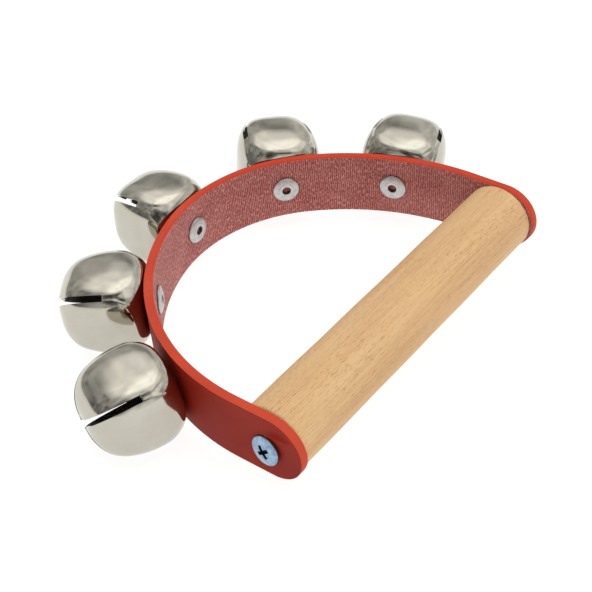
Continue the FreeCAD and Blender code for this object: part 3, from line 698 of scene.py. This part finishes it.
def make_bell(number, outside, inside):
    """One bell: four petals that join below the slits, creased at the corners, from sheet steel."""
    seat = bell_seat(number)
    rows, cut = bell_profile()
    draw = random.Random(number)
    bends = [draw.uniform(-0.35, 0.35) * MM for _ in range(4)]
    sways = [draw.uniform(-0.02, 0.02) for _ in range(4)]
    half_columns = 15
    shares = [math.sin(math.pi / 2 * step / half_columns) ** 0.8 for step in range(half_columns + 1)]
    shares = [-share for share in reversed(shares[1:])] + shares
    corner_steps = 4
    verts, ring_size = [], 4 * (len(shares) + corner_steps - 1)
    for half_width, height in rows:
        reach = slit_angle(half_width, height)
        above = max(0.0, (height - SLIT_START) / (BELL_HEIGHT - SLIT_START))
        for petal in range(4):
            angles = [share * reach for share in shares]
            gap = math.pi / 2 - 2 * reach
            angles += [reach + gap * step / corner_steps for step in range(1, corner_steps)]
            for angle in angles:
                distance = section_reach(angle, half_width, height)
                middle = 0 if angle < math.pi / 4 else math.pi / 2
                across = distance * math.sin(math.pi / 4 - abs(angle - middle))
                distance -= gusset(across, height)
                distance += bends[petal] * above ** 1.5 if angle <= reach else 0.0
                turn = angle + petal * math.pi / 2 + sways[petal] * above
                verts.append(seat @ Vector((distance * math.cos(turn), distance * math.sin(turn), height)))
    faces = []
    petal_columns = len(shares) - 1
    group = len(shares) + corner_steps - 1
    for row in range(len(rows) - 1):
        for column in range(ring_size):
            if row >= cut and column % group >= petal_columns:
                continue
            follower = (column + 1) % ring_size
            faces.append((row * ring_size + column, row * ring_size + follower,
                          (row + 1) * ring_size + follower, (row + 1) * ring_size + column))
    bell = new_object(f"bell_{number}_shell", verts, faces, closed=False)
    thicken(bell, BELL_WALL, back_slot=1)
    round_edges(bell, 0.16 * MM, 2, 50)
    give(bell, outside, inside)
    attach(bell, f"bell_{number}")
    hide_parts(f"bell_shell_{number}")


def make_rivet(number, metal, dark):
    """The rivet's head inside the bell, its shank and the rolled flare on the inside of the strap."""
    seat = rivet_seat(number)
    under = 2 * BELL_GAP + BELL_WALL + RIVET_PLAY
    lift, dish, sheet = 0.25 * MM, 0.4 * MM, 0.45 * MM
    flare = -(STRAP_THICKNESS + lift + dish + sheet)
    end = flare - 0.22 * MM
    head, top = 3.6 * MM, under + 0.8 * MM
    bore, ring = 1.4 * MM, 2.6 * MM
    corners = [(bore, BELL_WALL), (bore, end), (ring, end), (ring, flare), (SHANK_RADIUS, flare),
               (SHANK_RADIUS, under), (head, under), (head, top)]
    radii = [0, 0.2 * MM, 0.19 * MM, 0, 0, 0, 0.2 * MM, 0.35 * MM]
    profile = [(0.0, BELL_WALL)] + rounded(corners, radii) + [(0.0, top)]
    rivet = turned(f"rivet_{number}", profile, 56, seat)
    give(rivet, metal, dark)
    # Painted shade: the faces down the bore get the dark steel, for the shade inside the hole.
    to_seat = seat.inverted()
    for polygon in rivet.data.polygons:
        place = to_seat @ polygon.center
        if math.hypot(place.x, place.y) < bore + 0.02 * MM and place.z < under:
            polygon.material_index = 1
    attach(rivet, "frame")
    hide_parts(f"bell_rivet_{number}")


def make_washer(number, metal):
    """The domed disc on the strap's lining, highest round the rivet and rolled over at its rim."""
    seat = rivet_seat(number)
    rim = -(STRAP_THICKNESS + 0.25 * MM)
    eye, outer = SHANK_RADIUS + 0.05 * MM, 4.45 * MM
    edge = outer - 0.1 * MM
    dish, sheet = 0.55 * MM, 0.45 * MM
    steps = 14
    outside = []
    for step in range(steps):
        share = step / steps
        swell = dish * math.cos(share * math.pi / 2)
        outside.append((eye + (edge - eye) * share, rim - sheet - swell))
    outside += [(edge, rim - sheet + 0.06 * MM), (outer, rim - sheet / 2), (edge, rim)]
    profile = outside + [(outer - 0.5 * MM, rim), (eye, rim - dish), outside[0]]
    washer = turned(f"washer_{number}", profile, 64, seat)
    give(washer, metal)
    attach(washer, "frame")
    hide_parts(f"rivet_washer_{number}")


# ---------------------------------------------------------------- studio

def aim(item, target):
    """Turns a light or camera so that its -Z looks at a point."""
    item.rotation_euler = (target - item.location).to_track_quat("-Z", "Y").to_euler()


def area_light(name, offset, size, power):
    """A soft rectangular light at an offset from the middle of the instrument, unseen in reflections."""
    light = bpy.data.lights.new(name, "AREA")
    light.shape = "RECTANGLE"
    light.size, light.size_y = size
    light.energy = power
    item = bpy.data.objects.new(name, light)
    scene.collection.objects.link(item)
    target = Vector((0, 0, 0.015))
    item.location = target + Vector(offset)
    item.visible_glossy = False
    aim(item, target)
    return item


def make_floor():
    """A plain white sweep under the instrument."""
    half = 2.5
    floor = new_object("floor", [(-half, -half, 0), (half, -half, 0), (half, half, 0), (-half, half, 0)],
                       [(0, 1, 2, 3)], smooth=False)
    s = Shader("white_sweep", Roughness=0.9)
    paper = s.noise(s.coordinates(), 40.0, 2.0)
    tone = s.ramp(paper, (0.3, 0.18), (0.7, 0.20))
    s.surface.inputs["Emission Color"].default_value = (1, 1, 1, 1)
    s.surface.inputs["Emission Strength"].default_value = 0.90
    give(floor, s.wear(Base_Color=tone))


def sky(azimuth, elevation):
    """A direction from the instrument, in degrees from +X and above the floor."""
    turn, rise = math.radians(azimuth), math.radians(elevation)
    return (math.cos(turn) * math.cos(rise), math.sin(turn) * math.cos(rise), math.sin(rise))


def make_world():
    """A soft white tent: bright panels high up, dimmer walls, a dark patch on the camera's side, and a
    white horizon that meets the floor."""
    world = bpy.data.worlds.new("studio")
    scene.world = world
    world.use_nodes = True
    g = Graph(world.node_tree)
    direction = g.node("ShaderNodeTexCoord").outputs["Generated"]
    light = 0.47
    # Where each panel is, its outer and inner edge in degrees from its middle, and its strength.
    panels = (
        (sky(35, 74), 40, 26, 0.62),
        (sky(-64, 64), 42, 28, 0.60),
        (sky(144, 30), 44, 26, -0.24),
        (sky(-130, 39), 33, 24, -0.26),
        (sky(107, 66), 42, 34, 0.14),
        (sky(-11, -9), 57, 42, 0.27),
        (sky(-118, 4), 26, 14, 0.50),
    )
    for facing, outer, inner, strength in panels:
        near = g.facing(direction, facing)
        glow = g.smooth(near, math.cos(math.radians(outer)), math.cos(math.radians(inner)), strength)
        light = g.math("ADD", light, glow)
    streak = g.node("ShaderNodeMapping", {"Vector": direction, "Scale": (1.0, 1.0, 0.3)}).outputs["Vector"]
    drift = g.math("MULTIPLY", g.math("SUBTRACT", g.noise(streak, 4.2, 2.0), 0.5), 0.9)
    light = g.math("MAXIMUM", g.math("ADD", light, drift), 0.06)
    height = g.facing(direction, (0, 0, 1))
    horizon = g.smooth(height, math.sin(math.radians(8)), math.sin(math.radians(4)), 1.02)
    light = g.math("MAXIMUM", light, horizon)
    g.feed(g.tree.nodes["Background"].inputs["Strength"], light)
    g.feed(g.tree.nodes["Background"].inputs["Color"], (1.0, 0.99, 0.97, 1))


def make_camera():
    """The camera stands in front and to the left, and looks down across the handle."""
    camera = bpy.data.cameras.new("camera")
    camera.sensor_width = 36
    camera.lens = 81.2
    item = bpy.data.objects.new("camera", camera)
    scene.collection.objects.link(item)
    azimuth, elevation, roll = math.radians(-49.005), math.radians(39.959), math.radians(-5.627)
    back = Vector((math.sin(azimuth) * math.cos(elevation), -math.cos(azimuth) * math.cos(elevation),
                   math.sin(elevation)))
    right = Vector((math.cos(azimuth), math.sin(azimuth), 0))
    up = back.cross(right)
    right, up = (right * math.cos(roll) + up * math.sin(roll), up * math.cos(roll) - right * math.sin(roll))
    place = Matrix((right, up, back)).transposed().to_4x4()
    place.translation = HANDLE_CENTRE + Vector((-239.92, -170.86, 257.66)) * MM
    item.matrix_world = place
    scene.camera = item


make_strap()
make_dowel()
zinc = blue_zinc()
# Painted shade: the driver recess gets near-black steel for the shade down in it, not the zinc's own colour.
recess_painted_shade = dull_steel("screw_recess_painted_shade", (0.035, 0.04, 0.05), 0.5)
for side, sign in (("left", -1), ("right", 1)):
    make_screw(side, sign, zinc, recess_painted_shade)
plate = nickel()
bell_inside = dull_steel("bell_inside", (0.20, 0.19, 0.18), 0.45)
rivet_metal = dull_steel("rivet_metal", (0.62, 0.61, 0.60), 0.30)
ball_steel = dull_steel("ball_steel", (0.42, 0.41, 0.40), 0.3)
for number in BELLS:
    make_bell(number, plate, bell_inside)
    make_rivet(number, rivet_metal, bell_inside)
    make_washer(number, rivet_metal)
    give(frame["nodes"][f"pellet_{number}"], ball_steel)
make_floor()
make_world()
area_light("overhead", (0.35, 0.0, 0.95), (1.3, 1.1), 2.4)
make_camera()
scene.view_settings.view_transform = "Standard"
